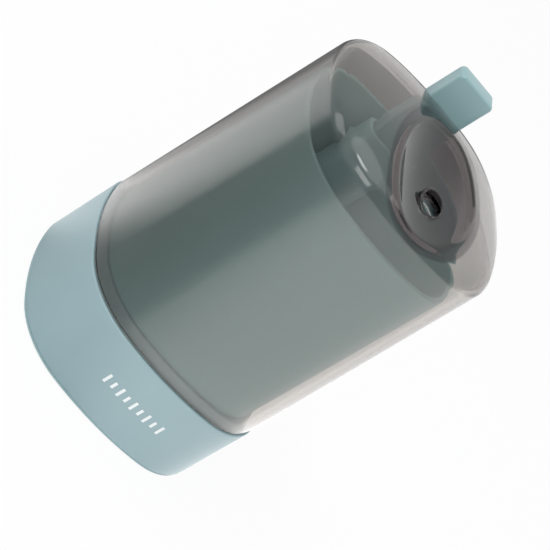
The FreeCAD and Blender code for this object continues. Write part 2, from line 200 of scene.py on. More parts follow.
@dataclass(frozen=True)
class SmokyClear:
    """Polished smoky clear plastic that darkens with thickness, with painted shade in its scoop.
    """

    name: str
    index: float = 1.49
    roughness: float = 0.015
    density: float = 400.0
    tint: tuple[float, float, float, float] = (0.46, 0.43, 0.40, 1.0)
    shadow: tuple[float, float, float, float] = (0.66, 0.62, 0.60, 1.0)
    # Painted shade: dark colour for the scoop, in place of the darkening that its curved clear
    # walls give
    bowl_painted_shade: tuple[float, float, float, float] = (0.27, 0.24, 0.26, 1.0)
    bowl_fade: float = 1.062
    bowl_full: float = 1.05
    ripple_scale: float = 35.0
    ripple: float = 0.02
    ripple_depth: float = 0.0002

    def bowl_shade_mask(self, tree: bpy.types.NodeTree) -> bpy.types.NodeSocket:
        """Mask of the scoop's painted shade: one inside the scoop's ellipsoid and on its floor,
        nought elsewhere.

        Args:
            tree: The material's node tree.

        Returns:
            The mask's output socket.
        """
        place = add_node(tree, "TexCoord")
        shift = add_node(tree, "VectorMath", {1: [c * MM for c in SCOOP_CENTRE]},
                         operation="SUBTRACT")
        turn = add_node(tree, "VectorRotate", {"Angle": -SCOOP_TILT}, rotation_type="X_AXIS")
        size = add_node(tree, "VectorMath", {1: [c * MM for c in SCOOP_SEMI]},
                        operation="DIVIDE")
        length = add_node(tree, "VectorMath", operation="LENGTH")
        edge = add_node(tree, "MapRange", {
            "From Min": self.bowl_fade, "From Max": self.bowl_full})
        connect(tree,
                (place, "Object", shift, 0), (shift, "Vector", turn, "Vector"),
                (turn, "Vector", size, 0), (size, "Vector", length, 0),
                (length, "Value", edge, "Value"))
        return edge.outputs["Result"]

    def material(self) -> bpy.types.Material:
        """Build the node material.

        Returns:
            The material.
        """
        material, tree = blank_material(self.name)
        clear = add_node(tree, "BsdfPrincipled", {
            "Transmission Weight": 1.0, "Roughness": self.roughness, "IOR": self.index})
        # Painted shade: the base colour turns dark inside the scoop
        tint = add_node(tree, "Mix", {"A": (1.0, 1.0, 1.0, 1.0), "B": self.bowl_painted_shade},
                        data_type="RGBA")
        tree.links.new(self.bowl_shade_mask(tree), tint.inputs["Factor"])
        place = add_node(tree, "TexCoord")
        ripple = add_node(tree, "TexNoise", {"Scale": self.ripple_scale})
        bump = add_node(tree, "Bump", {"Strength": self.ripple, "Distance": self.ripple_depth})
        pass_light = add_node(tree, "BsdfTransparent", {"Color": self.shadow})
        rays = add_node(tree, "LightPath")
        mix = add_node(tree, "MixShader")
        depth = add_node(tree, "VolumeAbsorption", {"Color": self.tint, "Density": self.density})
        output = tree.nodes["Material Output"]
        connect(tree,
                (tint, "Result", clear, "Base Color"), (place, "Object", ripple, "Vector"),
                (ripple, "Fac", bump, "Height"), (bump, "Normal", clear, "Normal"),
                (rays, "Is Shadow Ray", mix, "Fac"), (clear, "BSDF", mix, 1),
                (pass_light, "BSDF", mix, 2), (mix, "Shader", output, "Surface"),
                (depth, "Volume", output, "Volume"))
        return material


@dataclass(frozen=True)
class Metal:
    """Plain machined or drawn metal with fine marks."""

    name: str
    colour: tuple[float, float, float, float]
    roughness: float = 0.28
    marks: float = 0.08
    mark_scale: float = 700.0
    mark_stretch: float = 12.0

    def material(self) -> bpy.types.Material:
        """Build the node material.

        Returns:
            The material.
        """
        material, tree = blank_material(self.name)
        shader = add_node(tree, "BsdfPrincipled", {"Base Color": self.colour, "Metallic": 1.0})
        place = add_node(tree, "TexCoord")
        stretch = add_node(tree, "Mapping", {"Scale": (1.0, 1.0, self.mark_stretch)})
        marks = add_node(tree, "TexNoise", {"Scale": self.mark_scale})
        gloss = add_node(tree, "MapRange", {
            "To Min": self.roughness - self.marks, "To Max": self.roughness + self.marks})
        connect(tree,
                (place, "Object", stretch, "Vector"), (stretch, "Vector", marks, "Vector"),
                (marks, "Fac", gloss, "Value"), (gloss, "Result", shader, "Roughness"),
                (shader, "BSDF", tree.nodes["Material Output"], "Surface"))
        return material


# Shared shapes


@dataclass(frozen=True)
class RoundedSquare:
    """Plan of every ring: four gently bowed sides joined by round corners."""

    side_ratio: float = 80.0 / 35.0
    corner_ratio: float = 21.13 / 35.0

    def corner_centre(self) -> float:
        """Place of a corner arc's centre for a half width of one.

        Returns:
            Its distance from the middle, the same in x and y.
        """
        reach = self.side_ratio - 1.0
        span = self.side_ratio - self.corner_ratio
        return (math.sqrt(2 * span ** 2 - reach ** 2) - reach) / 2

    def points(self, count: int) -> np.ndarray:
        """Plan points for a half width of one.

        Args:
            count: How many points go round.

        Returns:
            An array of x and y, evenly turned about the centre.
        """
        centre = self.corner_centre()
        reach = self.side_ratio - 1.0
        start = math.atan2(centre, centre + reach)
        join = (self.side_ratio * math.cos(start) - reach, self.side_ratio * math.sin(start))
        join_angle = math.atan2(join[1], join[0])
        result = np.zeros((count, 2))
        for i in range(count):
            angle = 2 * math.pi * i / count
            quarter = round(angle / (math.pi / 2))
            local = angle - quarter * math.pi / 2
            if abs(local) <= join_angle:
                along = -reach * math.cos(local)
                radius = along + math.sqrt(along ** 2 - reach ** 2 + self.side_ratio ** 2)
            else:
                away = centre * (math.cos(local) + abs(math.sin(local)))
                radius = away + math.sqrt(away ** 2 - 2 * centre ** 2 + self.corner_ratio ** 2)
            result[i] = (radius * math.cos(angle), radius * math.sin(angle))
        return result


PLAN = RoundedSquare()


class Bench:
    """Modelling steps shared by the sub-assemblies."""

    merge_distance = 1e-7

    @staticmethod
    def clear_selection() -> None:
        """Leave edit mode and deselect everything."""
        if bpy.context.object and bpy.context.object.mode != "OBJECT":
            bpy.ops.object.mode_set(mode="OBJECT")
        bpy.ops.object.select_all(action="DESELECT")

    @staticmethod
    def name_new(name: str) -> bpy.types.Object:
        """Name the object just added and its mesh.

        Args:
            name: The piece's name.

        Returns:
            The object.
        """
        piece = bpy.context.object
        piece.name = name
        piece.data.name = name
        return piece

    @staticmethod
    def settle(piece: bpy.types.Object) -> None:
        """Apply the object's place, turn and size to its mesh.

        Args:
            piece: The piece to settle.
        """
        Bench.clear_selection()
        piece.select_set(True)
        bpy.context.view_layer.objects.active = piece
        bpy.ops.object.transform_apply(location=True, rotation=True, scale=True)

    @staticmethod
    def ring_stack(name: str, rings: list[tuple[float, float]], around: int,
                   shape: Callable | None = None) -> bpy.types.Object:
        """Skin through rounded-square rings, closed where a ring has no width.

        Args:
            name: The piece's name.
            rings: Half width and height of each ring, in millimetres.
            around: How many points each ring has.
            shape: Optional change to the ring points, from and to x, y, z arrays in mm.

        Returns:
            The new object, doubles merged and faces outward.
        """
        Bench.clear_selection()
        bpy.ops.mesh.primitive_grid_add(x_subdivisions=around, y_subdivisions=len(rings) - 1,
                                        size=1.0)
        piece = Bench.name_new(name)
        plan = PLAN.points(around)
        plan = np.vstack([plan, plan[:1]])
        half = np.array([r[0] for r in rings])[:, None]
        x = half * plan[None, :, 0]
        y = half * plan[None, :, 1]
        z = np.repeat(np.array([r[1] for r in rings])[:, None], around + 1, axis=1)
        if shape is not None:
            x, y, z = shape(x, y, z)
        flat = np.stack([x, y, z], axis=-1).reshape(-1, 3) * MM
        piece.data.vertices.foreach_set("co", flat.astype(np.float32).ravel())
        piece.data.update()
        bpy.ops.object.mode_set(mode="EDIT")
        bpy.ops.mesh.select_all(action="SELECT")
        bpy.ops.mesh.remove_doubles(threshold=Bench.merge_distance)
        bpy.ops.mesh.normals_make_consistent(inside=False)
        bpy.ops.object.mode_set(mode="OBJECT")
        return piece

    @staticmethod
    def rounded_bar(name: str, size: tuple[float, float, float],
                    centre: tuple[float, float, float], radius: float,
                    segments: int = 8) -> bpy.types.Object:
        """Upright bar with rounded upright edges, sizes in millimetres.

        Args:
            name: The piece's name.
            size: Width, depth and height.
            centre: Middle of the bar.
            radius: Radius of the upright edges.
            segments: Steps in each rounded edge.

        Returns:
            The new object with its place in its mesh.
        """
        Bench.clear_selection()
        bpy.ops.mesh.primitive_cube_add(size=1.0, location=[c * MM for c in centre],
                                        scale=[s * MM for s in size])
        piece = Bench.name_new(name)
        Bench.settle(piece)
        bpy.ops.object.mode_set(mode="EDIT")
        bpy.ops.mesh.select_all(action="DESELECT")
        bpy.ops.mesh.select_mode(type="EDGE")
        mesh = bmesh.from_edit_mesh(piece.data)
        for edge in mesh.edges:
            a, b = edge.verts
            upright = abs(a.co.z - b.co.z) > 0.5 * size[2] * MM
            edge.select_set(upright)
        bmesh.update_edit_mesh(piece.data)
        bpy.ops.mesh.bevel(offset=radius * MM, segments=segments)
        bpy.ops.object.mode_set(mode="OBJECT")
        return piece

    @staticmethod
    def drum(name: str, radius: float, low: float, high: float, x: float, y: float,
             sides: int = 72) -> bpy.types.Object:
        """Upright round drum, sizes in millimetres.

        Args:
            name: The piece's name.
            radius: Its radius.
            low: Height of its lower end.
            high: Height of its upper end.
            x: Its axis in x.
            y: Its axis in y.
            sides: Points round the rim.

        Returns:
            The new object with its place in its mesh.
        """
        Bench.clear_selection()
        bpy.ops.mesh.primitive_cylinder_add(
            vertices=sides, radius=radius * MM, depth=(high - low) * MM,
            location=(x * MM, y * MM, (low + high) / 2 * MM))
        piece = Bench.name_new(name)
        Bench.settle(piece)
        return piece

    @staticmethod
    def combine(piece: bpy.types.Object, tool: bpy.types.Object, how: str) -> None:
        """Join or cut a piece with a tool that is then deleted.

        Args:
            piece: The piece that is changed.
            tool: The shape that is joined or taken away.
            how: UNION, DIFFERENCE or INTERSECT.
        """
        Bench.clear_selection()
        bpy.context.view_layer.objects.active = piece
        piece.select_set(True)
        modifier = piece.modifiers.new(how, "BOOLEAN")
        modifier.operation = how
        modifier.object = tool
        modifier.solver = "EXACT"
        bpy.ops.object.modifier_apply(modifier=modifier.name)
        mesh = tool.data
        bpy.data.objects.remove(tool)
        bpy.data.meshes.remove(mesh)

    @staticmethod
    def soften(piece: bpy.types.Object, width: float, segments: int = 3,
               angle: float = 40.0) -> None:
        """Round the sharp edges with an applied bevel.

        Args:
            piece: The piece to soften.
            width: Bevel width in millimetres.
            segments: Steps in the bevel.
            angle: Edges sharper than this many degrees are rounded.
        """
        Bench.clear_selection()
        bpy.context.view_layer.objects.active = piece
        piece.select_set(True)
        modifier = piece.modifiers.new("soften", "BEVEL")
        modifier.width = width * MM
        modifier.segments = segments
        modifier.limit_method = "ANGLE"
        modifier.angle_limit = math.radians(angle)
        modifier.harden_normals = False
        bpy.ops.object.modifier_apply(modifier=modifier.name)

    @staticmethod
    def smooth(piece: bpy.types.Object, angle: float = 35.0) -> None:
        """Shade smooth except across edges sharper than the angle.

        Args:
            piece: The piece to shade.
            angle: The angle in degrees.
        """
        Bench.clear_selection()
        piece.select_set(True)
        bpy.context.view_layer.objects.active = piece
        bpy.ops.object.shade_smooth_by_angle(angle=math.radians(angle))

    @staticmethod
    def dress(piece: bpy.types.Object, material: bpy.types.Material) -> None:
        """Give a piece one material."""
        piece.data.materials.clear()
        piece.data.materials.append(material)

    @staticmethod
    def finish(piece: bpy.types.Object, body: Body, material: bpy.types.Material,
               slot: str, replaces: tuple[str, ...] = ()) -> bpy.types.Object:
        """Dress a piece, set what it rides on and what it stands for.

        Args:
            piece: The finished piece.
            body: The body it rides on.
            material: Its material.
            slot: Name of a material slot; not used.
            replaces: CAD nodes that it stands for.

        Returns:
            The same piece.
        """
        Bench.dress(piece, material)
        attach(piece, body.value)
        if replaces:
            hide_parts(*replaces)
        LOG.info("piece %s: %d faces on %s", piece.name, len(piece.data.polygons), body.value)
        return piece


def arc_rings(half: float, height: float, radius: float, start: float, end: float,
              steps: int) -> list[tuple[float, float]]:
    """Rings along a round edge.

    Args:
        half: Half width at the arc's centre.
        height: Height of the arc's centre.
        radius: Arc radius.
        start: First angle in degrees, 0 outward and 90 up.
        end: Last angle in degrees.
        steps: Number of steps.

    Returns:
        Half width and height of each ring.
    """
    rings = []
    for i in range(steps + 1):
        angle = math.radians(start + (end - start) * i / steps)
        rings.append((half + radius * math.cos(angle), height + radius * math.sin(angle)))
    return rings


# Cover


@dataclass
class Cover:
    """Clear domed cover with its scoop, outlet and slot. Sizes in millimetres."""

    finish_clear: SmokyClear
    half_low: float = 34.62
    half_high: float = 33.82
    low: float = 24.9
    shoulder: float = 100.45
    wall: float = 2.0
    fillet: float = 5.5
    rise: float = 9.5
    around: int = 320
    foot_round: float = 0.3
    scoop_wall: float = 1.8
    rim_blend: float = 0.45
    inner_blend: float = 1.6
    scoop_above: float = 90.0
    outlet_radius: float = 3.3
    bore_span: tuple[float, float] = (90.0, 118.0)
    collar_radius: float = 4.1
    collar_span: tuple[float, float] = (103.4, 112.0)
    collar_height: float = 106.8
    collar_tilt: float = 22.0
    collar_round: float = 0.25
    slot_size: tuple[float, float, float] = (14.1, 6.8, 24.0)
    slot_middle: float = 108.0
    slot_round: float = 2.1

    def crown(self) -> tuple[float, float, float]:
        """Work out the crown's arc.

        Returns:
            Its radius, its centre's height and the angle in degrees where the fillet ends.
        """
        radius = (self.half_high ** 2 + self.rise ** 2) / (2 * self.rise)
        centre = self.shoulder - math.sqrt(
            (radius - self.fillet) ** 2 - (self.half_high - self.fillet) ** 2)
        end = math.degrees(math.atan2(self.shoulder - centre, self.half_high - self.fillet))
        return radius, centre, end

    def skin(self, inset: float, wall_steps: int, edge_steps: int,
             crown_steps: int) -> list[tuple[float, float]]:
        """Rings of one face from the bottom to the top.

        Args:
            inset: Distance inside the outer face.
            wall_steps: Rings up the wall.
            edge_steps: Rings round the top edge.
            crown_steps: Rings over the crown.

        Returns:
            Half width and height of each ring.
        """
        radius, centre, end = self.crown()
        foot = self.low + self.foot_round
        rings = []
        for i in range(wall_steps):
            share = i / wall_steps
            rings.append((self.half_low - inset + (self.half_high - self.half_low) * share,
                          foot + (self.shoulder - foot) * share))
        at = self.half_high - self.fillet
        rings += arc_rings(at, self.shoulder, self.fillet - inset, 0.0, end, edge_steps)
        top = rings[-1][0]
        for i in range(1, crown_steps + 1):
            reach = top * (1 - i / crown_steps)
            rings.append((reach, centre + math.sqrt((radius - inset) ** 2 - reach ** 2)))
        return rings

    def scoop_height(self, x: np.ndarray, y: np.ndarray, drop: float) -> np.ndarray:
        """Height of the scoop's floor over each point.

        Args:
            x: Points in x.
            y: Points in y.
            drop: How far under the floor's face.

        Returns:
            Heights, very large where the scoop doesn't reach.
        """
        a, b, c = (s + drop for s in SCOOP_SEMI)
        x = x - SCOOP_CENTRE[0]
        y = y - SCOOP_CENTRE[1]
        cs, sn = math.cos(SCOOP_TILT), math.sin(SCOOP_TILT)
        p = sn ** 2 / b ** 2 + cs ** 2 / c ** 2
        q = 2 * y * cs * sn * (1 / b ** 2 - 1 / c ** 2)
        r = (x / a) ** 2 + (y * cs / b) ** 2 + (y * sn / c) ** 2 - 1
        inside = q ** 2 - 4 * p * r
        low = (-q - np.sqrt(np.maximum(inside, 0))) / (2 * p) + SCOOP_CENTRE[2]
        return np.where(inside > 0, low, 1e4)

    def pressed_in(self, outer_rings: int, total: int) -> Callable:
        """Change to the rings that presses the scoop into both faces.

        Args:
            outer_rings: How many rings belong to the outer face.
            total: How many rings there are.

        Returns:
            A function of the x, y and z arrays.
        """
        faces = ((slice(0, outer_rings), 0.0, self.rim_blend),
                 (slice(outer_rings, total), self.scoop_wall, self.inner_blend))

        def shape(x: np.ndarray, y: np.ndarray, z: np.ndarray) -> tuple:
            """Lower the rings onto the scoop with a soft rim.

            Args:
                x: Ring points in x.
                y: Ring points in y.
                z: Heights of the ring points.

            Returns:
                The x and y arrays as they were, and the new heights.
            """
            result = z.copy()
            for rows, drop, blend in faces:
                floor = self.scoop_height(x[rows], y[rows], drop)
                height = z[rows]
                share = np.clip(0.5 + 0.5 * (floor - height) / blend, 0, 1)
                lowered = floor * (1 - share) + height * share - blend * share * (1 - share)
                result[rows] = np.where(height > self.scoop_above,
                                        np.minimum(height, lowered), height)
            return x, y, result
        return shape

    def build(self) -> bpy.types.Object:
        """Model, dress and place the cover.

        Returns:
            The cover object.
        """
        small = self.foot_round
        outer = self.skin(0.0, 14, 20, 84)
        inner = self.skin(self.wall, 14, 14, 60)
        lip = arc_rings(self.half_low - self.wall + small, self.low + small, small, 180, 270, 4)
        lip += arc_rings(self.half_low - small, self.low + small, small, 270, 360, 4)
        rings = list(reversed(outer)) + list(reversed(lip))[1:-1] + inner
        piece = Bench.ring_stack("clear_cover", rings, self.around,
                                 self.pressed_in(len(outer), len(rings)))
        x, y = OUTLET
        collar = Bench.drum("collar", self.collar_radius, *self.collar_span, x, y)
        keep = Bench.rounded_bar("keep", (30, 30, 20), (0, 0, -10), 1.0, 1)
        keep.rotation_euler = (math.radians(self.collar_tilt), 0, 0)
        keep.location = (x * MM, y * MM, self.collar_height * MM)
        Bench.settle(keep)
        Bench.combine(collar, keep, "INTERSECT")
        Bench.soften(collar, self.collar_round, 3)
        Bench.combine(piece, collar, "UNION")
        bore = Bench.drum("bore", self.outlet_radius, *self.bore_span, x, y)
        Bench.combine(piece, bore, "DIFFERENCE")
        slot = Bench.rounded_bar("slot", self.slot_size, (0, TAB_Y, self.slot_middle),
                                 self.slot_round)
        Bench.combine(piece, slot, "DIFFERENCE")
        Bench.smooth(piece, 40.0)
        return Bench.finish(piece, Body.COVER, self.finish_clear.material(), "smoky_clear",
                            ("cover_shell",))


# Base, store, tab and works


@dataclass
class Base:
    """Coloured cup with its seam ledge, neck, deck and front mark. Millimetres."""

    shell: Moulded
    ink: Moulded
    half: float = 35.0
    bottom: float = 1.0
    wall: float = 2.0
    deck: float = 2.0
    post_hole: tuple[float, float, float] = (17.0, 0.0, 2.02)
    pin_hole_radius: float = 3.8
    screw_hole: tuple[float, float, float] = (14.0, 13.0, 1.5)
    hole_reach: tuple[float, float] = (-8.0, 4.0)
    neck_half: float = 32.3
    neck_wall: float = 1.6
    neck_top: float = 27.9
    around: int = 256
    mark_height: float = 13.2
    mark_x: float = 0.7
    bar_height: float = 3.2
    bar_width: float = 0.85
    bar_step: float = 2.6
    bars: int = 9
    short_bar: float = 0.72
    mark_proud: float = 0.03
    mark_sunk: float = 0.02

    def cup(self) -> bpy.types.Object:
        """Model the cup as one closed skin with its openings.

        Returns:
            The cup.
        """
        half, wall = self.half, self.wall
        rings = [(0.0, SEAM), (self.neck_half - self.neck_wall, SEAM)]
        rings += arc_rings(self.neck_half - self.neck_wall + 0.25, self.neck_top - 0.25,
                           0.25, 180, 90, 3)
        rings += arc_rings(self.neck_half - 0.3, self.neck_top - 0.3, 0.3, 90, 0, 4)
        rings += [(self.neck_half, SEAM + 0.2), (self.neck_half + 0.2, SEAM)]
        rings += arc_rings(half - 0.4, SEAM - 0.4, 0.4, 90, 0, 5)
        rings += [(half, SEAM - 3.0), (half, 12.0), (half, 4.0)]
        rings += arc_rings(half - 0.6, self.bottom + 0.6, 0.6, 0, -90, 6)
        rings += [(half - wall, self.bottom), (half - wall, SEAM - self.deck)]
        rings += [(0.0, SEAM - self.deck)]
        piece = Bench.ring_stack("base_cup", rings, self.around)
        slot = Bench.rounded_bar("slot", (*SLOT_HOLE, 10.0), (0, TAB_Y, SEAM - 1),
                                 SLOT_HOLE_ROUND)
        Bench.combine(piece, slot, "DIFFERENCE")
        post_x, post_y, post_radius = self.post_hole
        screw_x, screw_y, screw_radius = self.screw_hole
        holes = [(-post_x, post_y, post_radius, 32), (post_x, post_y, post_radius, 32),
                 (*OUTLET, self.pin_hole_radius, 32)]
        holes += [(screw_x * sx, screw_y * sy, screw_radius, 24)
                  for sx in (-1, 1) for sy in (-1, 1)]
        for x, y, radius, sides in holes:
            hole = Bench.drum("hole", radius, SEAM + self.hole_reach[0],
                              SEAM + self.hole_reach[1], x, y, sides)
            Bench.combine(piece, hole, "DIFFERENCE")
        Bench.smooth(piece, 40.0)
        return piece

    def front_y(self, x: float) -> float:
        """Front face at a distance x from the middle."""
        radius = self.half * PLAN.side_ratio
        return (radius - self.half) - math.sqrt(radius ** 2 - x ** 2)

    def mark(self) -> bpy.types.Object:
        """Plain row of short upright strokes printed on the front.

        Returns:
            The strokes as one piece.
        """
        strokes = []
        span = self.bar_step * (self.bars - 1)
        for i in range(self.bars):
            x = self.mark_x - span / 2 + self.bar_step * i
            tall = self.bar_height * (1.0 if i % 2 == 0 else self.short_bar)
            bar = Bench.rounded_bar(
                "stroke", (self.bar_width, self.mark_sunk + self.mark_proud, tall),
                (x, 0, self.mark_height), 0.001, 1)
            bpy.ops.object.mode_set(mode="EDIT")
            bpy.ops.mesh.select_all(action="SELECT")
            bpy.ops.mesh.subdivide(number_cuts=3)
            bpy.ops.object.mode_set(mode="OBJECT")
            strokes.append(bar)
        Bench.clear_selection()
        for bar in strokes:
            bar.select_set(True)
        bpy.context.view_layer.objects.active = strokes[0]
        bpy.ops.object.join()
        piece = Bench.name_new("front_mark")
        for vertex in piece.data.vertices:
            x, y, z = (c / MM for c in vertex.co)
            vertex.co.y = (self.front_y(x) + y + (self.mark_sunk - self.mark_proud) / 2) * MM
        return piece

    def build(self) -> None:
        """Model, dress and place the cup and its mark."""
        Bench.finish(self.cup(), Body.BASE, self.shell.material(), "base_plastic",
                     ("base_shell",))
        Bench.finish(self.mark(), Body.BASE, self.ink.material(), "base_plastic")


@dataclass
class Store:
    """Open-topped store inside the cover, with the stem's tunnel. Millimetres."""

    shell: Moulded
    half: float = 31.2
    floor: float = 27.95
    floor_thick: float = 2.05
    rim: float = 93.0
    wall: float = 1.5
    around: int = 256
    rim_round: float = 0.5
    tunnel: tuple[float, float] = (16.5, 9.2)
    tunnel_round: float = 3.3
    tunnel_lift: float = 0.3
    tunnel_top: float = 92.0
    hole_height: float = 90.0
    hole_middle: float = 60.0
    pin_bore_radius: float = 3.12
    bore_reach: float = 4.0

    def build(self) -> None:
        """Model, dress and place the store."""
        wall = self.wall
        rings = [(0.0, self.floor), (self.half, self.floor),
                 (self.half, 45.0), (self.half, 70.0)]
        small = self.rim_round
        rings += arc_rings(self.half - small, self.rim - small, small, 0, 90, 5)
        rings += arc_rings(self.half - wall + small, self.rim - small, small, 90, 180, 5)
        rings += [(self.half - wall, 60.0), (self.half - wall, self.floor + self.floor_thick),
                  (0.0, self.floor + self.floor_thick)]
        piece = Bench.ring_stack("pick_store", rings, self.around)
        tunnel = Bench.rounded_bar(
            "tunnel", (*self.tunnel, self.tunnel_top - self.floor - self.tunnel_lift),
            (0, TAB_Y, (self.tunnel_top + self.floor + self.tunnel_lift) / 2),
            self.tunnel_round)
        Bench.soften(tunnel, 0.3, 2, 60)
        Bench.combine(piece, tunnel, "UNION")
        hole = Bench.rounded_bar("hole", (*SLOT_HOLE, self.hole_height),
                                 (0, TAB_Y, self.hole_middle), SLOT_HOLE_ROUND)
        Bench.combine(piece, hole, "DIFFERENCE")
        bore = Bench.drum("bore", self.pin_bore_radius, self.floor - self.bore_reach,
                          self.floor + self.bore_reach, *OUTLET, 32)
        Bench.combine(piece, bore, "DIFFERENCE")
        Bench.smooth(piece, 35.0)
        Bench.finish(piece, Body.BASE, self.shell.material(), "hopper_plastic", ("hopper",))


@dataclass
class PressTab:
    """Finger tab and its long flat stem. Millimetres."""

    shell: Moulded
    width: float = 13.1
    depth: float = 5.8
    bottom: float = 21.0
    top: float = 121.4
    top_round: float = 1.5
    edge: float = 0.7

    def build(self) -> None:
        """Model, dress and place the tab."""
        piece = Bench.rounded_bar("finger_tab", (self.width, self.depth, self.top - self.bottom),
                                  (0, TAB_Y, (self.top + self.bottom) / 2), 0.001, 1)
        bpy.ops.object.mode_set(mode="EDIT")
        bpy.ops.mesh.select_all(action="SELECT")
        bpy.ops.mesh.remove_doubles(threshold=1e-5)
        bpy.ops.mesh.select_all(action="DESELECT")
        bpy.ops.mesh.select_mode(type="EDGE")
        mesh = bmesh.from_edit_mesh(piece.data)
        for edge in mesh.edges:
            a, b = edge.verts
            across = abs(a.co.y - b.co.y) > 0.5 * self.depth * MM
            edge.select_set(across and a.co.z > 0.1)
        bmesh.update_edit_mesh(piece.data)
        bpy.ops.mesh.bevel(offset=self.top_round * MM, segments=8)
        bpy.ops.object.mode_set(mode="OBJECT")
        Bench.soften(piece, self.edge, 5, 30)
        Bench.smooth(piece, 50.0)
        Bench.finish(piece, Body.PLUNGER, self.shell.material(), "tab_plastic", ("press_tab",))


@dataclass
class ReturnSprings:
    """Two round-wire coils under the yoke. Metres."""

    finish: Metal
    turns: int = 5
    wire: float = 0.00035
    wire_sides: int = 10
    steps: int = 20
    travel: float = 0.009

    def build(self) -> None:
        """Coil each spring in its CAD node's box."""
        steel = self.finish.material()
        for side in ("left", "right"):
            low, high = (Vector(corner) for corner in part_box(f"return_spring_{side}"))
            piece = self.coil(f"spring_coil_{side}", low, high)
            Bench.finish(piece, Body.BASE, steel, "spring_steel", (f"return_spring_{side}",))
            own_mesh(piece)

    def coil(self, name: str, low: Vector, high: Vector) -> bpy.types.Object:
        """Sweep a round wire up one coil.

        Args:
            name: The piece's name.
            low: Lowest corner of the space it fills.
            high: Highest corner of that space.

        Returns:
            The coil, with closed ends.
        """
        Bench.clear_selection()
        mean = (high.x - low.x) / 2 - self.wire
        bpy.ops.mesh.primitive_circle_add(vertices=self.wire_sides, radius=self.wire,
                                          location=(mean, 0, 0), rotation=(math.pi / 2, 0, 0))
        piece = Bench.name_new(name)
        Bench.settle(piece)
        screw = piece.modifiers.new("coil", "SCREW")
        screw.iterations = self.turns
        screw.steps = self.steps
        screw.render_steps = self.steps
        screw.screw_offset = (high.z - low.z - 2 * self.wire) / self.turns
        bpy.ops.object.modifier_apply(modifier="coil")
        bpy.ops.object.mode_set(mode="EDIT")
        bpy.ops.mesh.select_all(action="SELECT")
        bpy.ops.mesh.fill_holes(sides=0)
        bpy.ops.mesh.select_all(action="SELECT")
        bpy.ops.mesh.normals_make_consistent(inside=False)
        bpy.ops.object.mode_set(mode="OBJECT")
        bpy.ops.object.shade_smooth()
        piece.location = ((low.x + high.x) / 2, (low.y + high.y) / 2, low.z + self.wire)
        Bench.settle(piece)
        return piece


@dataclass
class Works:
    """Hidden metal and plastic pieces, kept as their CAD nodes."""

    funnel: Moulded
    slide: Moulded
    plate: Moulded
    rubber: Moulded
    steel: Metal
    bright: Metal
    brass: Metal

    def build(self) -> None:
        """Give every node that stays its material."""
        made = {finish.name: finish.material() for finish in (
            self.funnel, self.slide, self.plate, self.rubber, self.steel, self.bright, self.brass)}
        rules = {
            "funnel_insert": self.funnel, "pin_sleeve": self.slide, "plunger_yoke": self.slide,
            "base_plate": self.plate, "foot_pad": self.rubber, "guide_post": self.steel,
            "lifter_pin": self.steel, "screws": self.bright, "post_caps": self.bright,
            "pin_clip": self.bright, "guide_bush": self.brass,
        }
        for node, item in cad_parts.items():
            for part, finish in rules.items():
                if part in node:
                    for slot in item.material_slots:
                        slot.material = made[finish.name]
                    if not item.material_slots:
                        item.data.materials.append(made[finish.name])
                    LOG.info("node %s dressed as %s", node, finish.name)
                    break


# Studio


